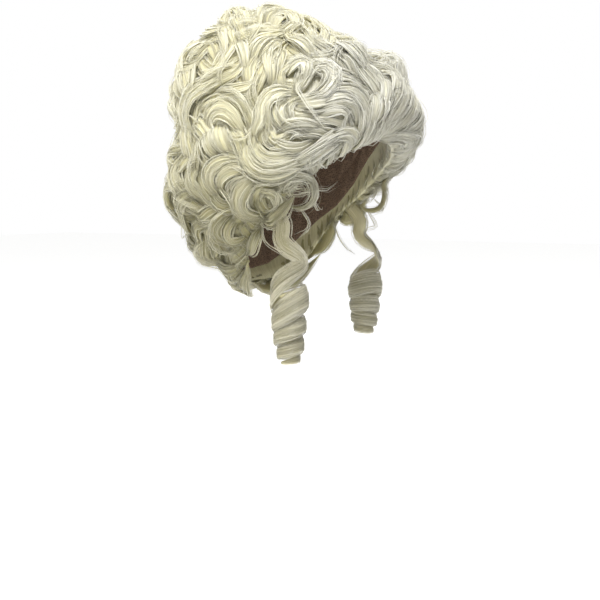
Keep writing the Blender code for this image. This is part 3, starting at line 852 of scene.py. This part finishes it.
def combed_lines(seeds, guides, chance):
    """Lines that follow the lie of the guide locks both ways from seeds."""
    spots = np.vstack([laid.points for laid in guides])
    runs = np.vstack([unit(np.gradient(laid.points, axis=0)) for laid in guides])
    first = comb(seeds, chance.normal(size=seeds.shape), spots, runs)
    halves = []
    for way in (-first, first):
        here, line = seeds, []
        for _ in range(COMB_STEPS):
            way = comb(here, way, spots, runs)
            here = kept_in(here + way * COMB_STEP)
            line.append(here)
        halves.append(np.stack(line, axis=1))
    return np.concatenate((halves[0][:, ::-1], seeds[:, None], halves[1]), axis=1)


def edge_locks(chance):
    """Locks that come out from under the cap's edge and roll over the edge of the hair."""
    locks = []
    for start in np.linspace(-180, 180, EDGE_LOCKS, endpoint=False):
        azimuth = start + np.linspace(0, chance.normal(0, EDGE_SLANT), LOCK_STEPS)
        foot, edge = rim_polar(start, "cap"), rim_polar(azimuth) - EDGE_MARGIN
        inside = LOCK_STEPS // 2
        polar = np.concatenate((
            np.linspace(foot, edge[inside], inside, endpoint=False),
            edge[inside:] - EDGE_TURN * np.linspace(0, 1, LOCK_STEPS - inside),
        ))
        inner = head_radius(azimuth, polar) + CAP_WALL + EDGE_OFF
        outer = hair_radius(azimuth, polar) + EDGE_OFF - LOCK_SINK * np.linspace(-1, 1, LOCK_STEPS) ** 5
        radius = np.where(np.arange(LOCK_STEPS) < inside, inner, np.maximum(inner, outer))
        points = smooth_path(HEART + bearing(azimuth, polar) * radius[:, None], LOCK_STEPS)
        locks.append(Laid(points, EDGE_WIDTH * chance.uniform(*EDGE_VARIES), EDGE_LIFT, 0.0, EDGE_FILL))
    return locks


def held_up(laid):
    """The same lock, held from hanging far below the edge of the hair. Narrow locks hang as they will."""
    if laid.width < HANGING_WIDTH:
        return laid
    azimuth, polar = angles_of(laid.points)
    reach = np.linalg.norm(laid.points - HEART, axis=1)
    held = np.minimum(polar, rim_polar(azimuth) + RIM_HANG)
    return laid._replace(points=HEART + bearing(azimuth, held) * reach[:, None])


def all_locks():
    """Every lock of the wig but the ringlets."""
    chance = np.random.default_rng(LAYING_SEED)
    guides = guide_locks(chance)
    locks = []
    seeds = kept_in(HEART + bearing(*even_spots(*LOW_SPOTS)))
    for line in combed_lines(seeds, guides, chance):
        width, lift = chance.uniform(*LOW_WIDTH), chance.uniform(*LOW_LIFT)
        locks.append(laid_lock(line, width, lift, chance.uniform(*LOW_ROLL), LOW_FILL))
    seeds = kept_in(HEART + bearing(*even_spots(*LOOSE_SPOTS)))
    for line in combed_lines(seeds, guides, chance):
        locks.append(laid_lock(line, chance.uniform(*LOOSE_WIDTH), chance.uniform(*LOOSE_LIFT), fill=0.0))
    for azimuth, polar in zip(*even_spots(*CROSSED_SPOTS)):
        sweep = chance.choice((-1, 1)) * chance.uniform(*CROSSED_SWEEP)
        radius, start = chance.uniform(*CROSSED_RADIUS), chance.uniform(0, 360)
        corners = curl_corners(azimuth, polar, radius, start, sweep)
        width, lift = chance.uniform(*CROSSED_WIDTH), chance.uniform(*CROSSED_LIFT)
        locks.append(laid_lock(corners, width, lift, fill=0.0))
    return [held_up(laid) for laid in guides + locks] + edge_locks(chance)


def streaked(mesh, flow, tone):
    """The mesh, smooth, with the flow and the tone that its material reads at its vertices; the tone
    carries painted shade and painted highlights.
    """
    for name, kind, field, parts in (
        ("flow", "FLOAT_VECTOR", "vector", flow),
        ("tone", "FLOAT", "value", tone),
    ):
        values = np.concatenate([part.ravel() for part in parts])
        mesh.attributes.new(name, kind, "POINT").data.foreach_set(field, values)
    mesh.shade_smooth()
    return mesh


def joined_mesh(name, groups):
    """One mesh of many closed strands, each group's alike in fineness."""
    corners, sizes, first = [], [], 0
    for rings, _, _ in groups:
        count, steps, sides = rings.shape[:3]
        number = first + np.arange(count * steps * sides).reshape(count, steps, sides)
        beside = np.roll(number, -1, axis=2)
        quads = np.stack((number[:, :-1], beside[:, :-1], beside[:, 1:], number[:, 1:]), axis=-1)
        corners += [quads.ravel(), number[:, 0, ::-1].ravel(), number[:, -1].ravel()]
        sizes += [np.full(quads.size // 4, 4), np.full(2 * count, sides)]
        first += number.size
    corners, sizes = np.concatenate(corners), np.concatenate(sizes)
    mesh = bpy.data.meshes.new(name)
    mesh.vertices.add(first)
    mesh.vertices.foreach_set("co", np.concatenate([rings.ravel() for rings, _, _ in groups]))
    mesh.loops.add(len(corners))
    mesh.loops.foreach_set("vertex_index", corners)
    mesh.polygons.add(len(sizes))
    mesh.polygons.foreach_set("loop_start", np.append(0, np.cumsum(sizes)[:-1]))
    mesh.update(calc_edges=True)
    return streaked(mesh, [flow for _, flow, _ in groups], [tone for _, _, tone in groups])


def placed(name, data):
    """Object in the scene, of a mesh, a lamp or a camera."""
    item = bpy.data.objects.new(name, data)
    bpy.context.collection.objects.link(item)
    return item


def show(mesh, material, *replaced):
    """Piece of hair that rides on the wig's one body, named as its mesh."""
    mesh.materials.append(material)
    piece = placed(mesh.name, mesh)
    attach(piece, "root")
    for node in replaced:
        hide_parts(node)


def under_hair_mesh():
    """Mesh of the hair between the cap and the locks: an outer and an inner dome joined at the rim."""
    bm = bmesh.new()
    for outside in (True, False):
        made = bmesh.ops.create_grid(bm, x_segments=UNDER_AROUND, y_segments=UNDER_ROWS, size=0.5)["verts"]
        azimuth = np.array([360 * vertex.co.x for vertex in made])
        down = np.array([vertex.co.y + 0.5 for vertex in made])
        polar = rim_polar(azimuth) * down
        radius = head_radius(azimuth, polar) + CAP_WALL + UNDER_CLEAR
        if outside:
            radius += np.maximum(hair_stand_off(azimuth, polar) - UNDER_SINK, UNDER_LEAST)
        places = HEART + bearing(azimuth, polar) * radius[:, None]
        for vertex, place in zip(made, places):
            vertex.co = place
    bmesh.ops.remove_doubles(bm, verts=bm.verts, dist=UNDER_SEAM)
    rims = [edge for edge in bm.edges if edge.is_boundary]
    bmesh.ops.bridge_loops(bm, edges=rims)
    bmesh.ops.recalc_face_normals(bm, faces=bm.faces)
    mesh = bpy.data.meshes.new("under_hair")
    bm.to_mesh(mesh)
    bm.free()
    places = np.array([vertex.co for vertex in mesh.vertices])
    azimuth, polar = angles_of(places)
    flow = np.stack((azimuth * METRES_A_DEGREE, polar * METRES_A_DEGREE, np.zeros(len(places))), axis=1)
    # one low tone all over, as painted shade between the locks
    return streaked(mesh, [flow], [np.full(len(places), UNDER_SHADE_TONE)])


def ringlet_line(side, length):
    """Middle line of a ringlet's band, with its directions out and its half width."""
    hang = side * (HEAD_HALF_WIDTH + CAP_WALL + RINGLET_HANG_GAP)
    azimuth, polar = side * RINGLET_ROOT_AZIMUTH, RINGLET_ROOT_POLAR
    root = HEART + bearing(azimuth, polar) * (head_radius(azimuth, polar) + RINGLET_OFF_HEAD)
    behind = RINGLET_SETBACK + LEAD_BEHIND
    last = TURNS[-1].turn
    turns = np.linspace(0, last, round(last * TURN_STEPS) + 1)
    fall = reading(TURNS, turns, "fall")
    angle = side * 2 * math.pi * turns - math.pi / 2
    radial = np.stack((np.cos(angle), np.sin(angle), np.zeros_like(angle)), axis=1)
    radius = RINGLET_RADIUS * (1 - RINGLET_TAPER * fall**TAPER_POWER) - RINGLET_DEPTH
    slope = radial[:, 1] * radius * reading(TURNS, turns, "lean")
    axis = np.array((hang, RINGLET_SETBACK, RINGLET_TOP)) - np.outer(length * fall + slope, (0, 0, 1))
    coil = axis + radial * radius[:, None]
    corners = np.array((
        root,
        (hang, behind, RINGLET_TOP + LEAD_HIGH),
        (hang, behind, RINGLET_TOP + LEAD_LOW),
        (hang, coil[0][1] * (1 - LEAD_EASE) + behind * LEAD_EASE, RINGLET_TOP + LEAD_LOW * LEAD_END),
        coil[0],
    ))
    points = np.vstack((smooth_path(corners, LEAD_STEPS)[:-1], coil))
    turns = np.concatenate((np.linspace(-1, 0, LEAD_STEPS)[:-1], turns))
    swing = np.clip((turns + SWING_START) / SWING_RUN, 0, 1)[:, None]
    radial = np.vstack((np.repeat(radial[:1], LEAD_STEPS - 1, axis=0), radial))
    out = np.array((side, 0, 0)) * (1 - swing) + (radial + np.array((0, 0, RINGLET_TILT))) * swing
    half = reading(TURNS, turns, "width") / 2
    return points, unit(out), half


def ringlet_groups(side, length, chance):
    """Band of hair that comes down from the temple and winds into a hanging corkscrew."""
    points, out, half = ringlet_line(side, length)
    along = unit(np.gradient(points, axis=0))
    across = unit(np.cross(along, out))
    band = Band(points, across, np.cross(across, along), half, half * RINGLET_THICKNESS)
    body, flow = lock_body(band, chance)
    # the core's low tone is painted shade under the strands
    groups = [(body, flow, np.full(body.shape[:3], RINGLET_CORE_SHADE_TONE))]
    count, even = RINGLET_STRANDS, np.linspace(0, 1, len(points))
    begin, stop = chance.uniform(*RINGLET_STARTS, (count, 1)), chance.uniform(*RINGLET_STOPS, (count, 1))
    shares = begin + (stop - begin) * even
    place = (np.arange(count) + chance.uniform(*RINGLET_PLACE, count)) / count * 2 - 1
    phase = chance.uniform(0, FULL_WAVE, (count, 1))
    wave = np.sin(phase + shares * chance.uniform(*RINGLET_PACE, (count, 1)))
    sidle = place[:, None] * RINGLET_SPREAD + RINGLET_SIDLE * wave
    lift = np.abs(chance.normal(0, RINGLET_FRIZZ, (count, 1))) + STRAND_OFF
    size = STRAND_HALF_WIDTH * chance.uniform(*RINGLET_FINENESS, (count, 1)) * swell(even)
    strands = strands_over(band, shares, sidle, lift, 0.0, RINGLET_ROUNDNESS)
    rings, flow = strand_rings(strands, size, chance)
    bundles = chance.normal(0, RINGLET_VARIES, count // STRANDS_A_BUNDLE)
    tone = chance.normal(RINGLET_TONE, RINGLET_VARIES, (count, 1, 1))
    tone = tone + np.repeat(bundles, STRANDS_A_BUNDLE)[:, None, None]
    # painted highlights at the band's edges, painted shade down its middle
    tone = tone + RINGLET_EDGE_SHINE * (np.abs(sidle)[..., None] - 0.5)
    # painted shade on the lead
    tone = tone - LEAD_SHADE * np.clip(1 - shares / LEAD_SHARE, 0, 1)[..., None]
    groups.append((rings, flow, np.broadcast_to(tone, rings.shape[:3])))
    return groups


def settle(node, inputs):
    """Values given to a node's inputs."""
    for name, value in dict(inputs).items():
        node.inputs[name].default_value = value


def wire(tree, kind, inputs=(), **settings):
    """Node of a kind, with its settings and the values of its inputs."""
    node = tree.nodes.new(kind)
    for name, value in settings.items():
        setattr(node, name, value)
    settle(node, inputs)
    return node


def arithmetic(tree, operation, first, second):
    """Math node on two inputs, each a socket or a number."""
    node = wire(tree, "ShaderNodeMath", operation=operation)
    for socket, value in zip(node.inputs, (first, second)):
        if isinstance(value, (int, float)):
            socket.default_value = value
        else:
            tree.links.new(value, socket)
    return node.outputs[0]


def streak_group():
    """Fine streaks that run along the hair, from coarse bundles down to single fibres."""
    group = bpy.data.node_groups.new("hair_streaks", "ShaderNodeTree")
    for name in ("Bundles", "Fibres"):
        group.interface.new_socket(name, in_out="INPUT", socket_type="NodeSocketFloat")
    group.interface.new_socket("Streaks", in_out="OUTPUT", socket_type="NodeSocketFloat")
    ends = wire(group, "NodeGroupInput")
    made = wire(group, "NodeGroupOutput")
    flow = wire(group, "ShaderNodeAttribute", attribute_name="flow")
    parts = wire(group, "ShaderNodeSeparateXYZ")
    group.links.new(flow.outputs["Vector"], parts.inputs[0])
    layers = []
    for name, stretch, share in (("Bundles", 0.022, 0.55), ("Fibres", 0.03, 0.45)):
        across = arithmetic(group, "MULTIPLY", parts.outputs["X"], ends.outputs[name])
        pitch = arithmetic(group, "MULTIPLY", ends.outputs[name], stretch)
        along = arithmetic(group, "MULTIPLY", parts.outputs["Y"], pitch)
        place = wire(group, "ShaderNodeCombineXYZ")
        for socket, value in zip(place.inputs, (across, along, parts.outputs["Z"])):
            group.links.new(value, socket)
        noise = wire(group, "ShaderNodeTexNoise", {"Scale": 1.0, "Detail": 2.0})
        group.links.new(place.outputs[0], noise.inputs["Vector"])
        layers.append(arithmetic(group, "MULTIPLY", noise.outputs["Fac"], share))
    group.links.new(arithmetic(group, "ADD", *layers), made.inputs["Streaks"])
    return group


def new_material(name):
    """Material with its node tree and its shader."""
    material = bpy.data.materials.new(name)
    material.use_nodes = True
    return material, material.node_tree, material.node_tree.nodes["Principled BSDF"]


def hair_material(name, streaks, middle, light, roughness):
    """Pale synthetic hair: streaked along its strands, duller where it lies deep as painted shade, with
    painted highlights from its tone, and greyer and darker towards the brow.
    """
    material, tree, shader = new_material(name)
    lines = wire(tree, "ShaderNodeGroup", node_tree=streaks)
    settle(lines, {"Bundles": 900, "Fibres": 2600})
    tone = wire(tree, "ShaderNodeAttribute", attribute_name="tone")
    swing = arithmetic(tree, "SUBTRACT", lines.outputs[0], 0.5)
    swing = arithmetic(tree, "MULTIPLY", swing, STREAK_CONTRAST)
    # colour by tone, from painted shade through the hair's own colour to full light and painted highlights
    ramp = wire(tree, "ShaderNodeValToRGB")
    ramp.color_ramp.elements[0].color = HAIR_IN_SHADE
    ramp.color_ramp.elements[1].color = light
    ramp.color_ramp.elements.new(0.5).color = middle
    tree.links.new(arithmetic(tree, "ADD", tone.outputs["Fac"], swing), ramp.inputs["Fac"])
    place = wire(tree, "ShaderNodeTexCoord")
    parts = wire(tree, "ShaderNodeSeparateXYZ")
    tree.links.new(place.outputs["Object"], parts.inputs[0])
    # greyer, and darker as painted shade, towards the brow
    reach = {"From Min": GREY_START, "From Max": GREY_FULL}
    front = wire(tree, "ShaderNodeMapRange", reach, interpolation_type="SMOOTHSTEP")
    tree.links.new(parts.outputs["Y"], front.inputs["Value"])
    grey = wire(tree, "ShaderNodeHueSaturation", {"Saturation": GREY_COLOUR, "Value": BROW_SHADE_VALUE})
    tree.links.new(front.outputs["Result"], grey.inputs["Fac"])
    tree.links.new(ramp.outputs["Color"], grey.inputs["Color"])
    tree.links.new(grey.outputs["Color"], shader.inputs["Base Color"])
    rough = arithmetic(tree, "MULTIPLY_ADD", lines.outputs[0], ROUGHNESS_SWING)
    rough.node.inputs[2].default_value = roughness - ROUGHNESS_SWING / 2
    tree.links.new(rough, shader.inputs["Roughness"])
    bump = wire(tree, "ShaderNodeBump", {"Strength": 0.4, "Distance": 0.0006})
    tree.links.new(lines.outputs[0], bump.inputs["Height"])
    tree.links.new(bump.outputs["Normal"], shader.inputs["Normal"])
    settle(shader, {
        "Subsurface Weight": 0.45,
        "Subsurface Radius": (1.0, 0.95, 0.75),
        "Subsurface Scale": 0.006,
        "Specular IOR Level": 0.45,
        "Sheen Weight": 0.30,
        "Sheen Roughness": 0.35,
        "Sheen Tint": (1.0, 0.97, 0.86, 1),
    })
    return material


def net_material():
    """Brown stretch net of the cap."""
    material, tree, shader = new_material("cap_net")
    place = wire(tree, "ShaderNodeTexCoord")
    cells = wire(tree, "ShaderNodeTexVoronoi", {"Scale": 520}, feature="DISTANCE_TO_EDGE")
    tree.links.new(place.outputs["Object"], cells.inputs["Vector"])
    ramp = wire(tree, "ShaderNodeValToRGB")
    ramp.color_ramp.elements[0].color = NET_THREAD
    ramp.color_ramp.elements[1].color = NET_GAP
    ramp.color_ramp.elements[1].position = 0.25
    tree.links.new(cells.outputs["Distance"], ramp.inputs["Fac"])
    tree.links.new(ramp.outputs["Color"], shader.inputs["Base Color"])
    bump = wire(tree, "ShaderNodeBump", {"Strength": 0.5, "Distance": 0.0005}, invert=True)
    tree.links.new(cells.outputs["Distance"], bump.inputs["Height"])
    tree.links.new(bump.outputs["Normal"], shader.inputs["Normal"])
    settle(shader, {"Roughness": 0.85})
    return material


def shown(tree, lit, seen):
    """A brightness of one value as a light, and of another in the picture."""
    camera_ray = wire(tree, "ShaderNodeLightPath").outputs["Is Camera Ray"]
    return arithmetic(tree, "ADD", arithmetic(tree, "MULTIPLY", camera_ray, seen - lit), lit)


def studio():
    """Pale floor, soft lights and the camera at the photo's angle."""
    camera = placed("camera", bpy.data.cameras.new("camera"))
    camera.data.sensor_width = SENSOR
    camera.data.lens = SENSOR * CAMERA_DISTANCE / (FRAME_PIXELS * PIXEL)
    camera.location = camera_place()
    camera.rotation_euler = camera_axes()[0].to_track_quat("Z", "Y").to_euler()
    bpy.context.scene.camera = camera

    bm = bmesh.new()
    bmesh.ops.create_grid(bm, x_segments=1, y_segments=1, size=FLOOR_HALF_WIDTH)
    bmesh.ops.translate(bm, verts=bm.verts, vec=(0, 0, FLOOR_HEIGHT))
    mesh = bpy.data.meshes.new("floor")
    bm.to_mesh(mesh)
    bm.free()
    paper, tree, shader = new_material("floor")
    settle(shader, {"Base Color": (0.86, 0.86, 0.85, 1), "Roughness": 0.9, "Emission Color": (1, 1, 1, 1)})
    tree.links.new(shown(tree, 0.0, FLOOR_GLOW), shader.inputs["Emission Strength"])
    mesh.materials.append(paper)
    placed("floor", mesh)

    world = bpy.data.worlds.new("studio")
    world.use_nodes = True
    sky = world.node_tree.nodes["Background"]
    settle(sky, {"Color": (1.0, 1.0, 1.0, 1)})
    world.node_tree.links.new(shown(world.node_tree, SKY_LIGHT, 1.0), sky.inputs["Strength"])
    bpy.context.scene.world = world
    bpy.context.scene.view_settings.view_transform = "Standard"
    for row in LAMPS:
        light = bpy.data.lights.new(row.name, "AREA")
        light.size = row.size
        light.energy = row.power
        lamp = placed(row.name, light)
        lamp.location = row.place
        lamp.rotation_euler = (Vector(row.place) - LAMP_AIM).to_track_quat("Z", "Y").to_euler()


studio()
streaks = streak_group()
hair = hair_material("hair", streaks, HAIR_MIDDLE, HAIR_LIGHT, HAIR_ROUGHNESS)
ringlet_hair = hair_material("ringlet_hair", streaks, RINGLET_MIDDLE, RINGLET_LIGHT, RINGLET_ROUGHNESS)

masses = {}
chance = np.random.default_rng(STRAND_SEED)
for laid in all_locks():
    add_lock(masses.setdefault(zone_of(laid.points.mean(axis=0)), []), laid, chance)
for name in sorted(masses):
    show(joined_mesh(name + "_locks", masses[name]), hair, name)
show(under_hair_mesh(), hair)
for name, side, length in (("right", -1, RIGHT_RINGLET_LENGTH), ("left", 1, LEFT_RINGLET_LENGTH)):
    node = "ringlet_" + name
    show(joined_mesh(node + "_coil", ringlet_groups(side, length, chance)), ringlet_hair, node)

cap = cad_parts["cap"]
cap.data.materials.clear()
cap.data.materials.append(net_material())
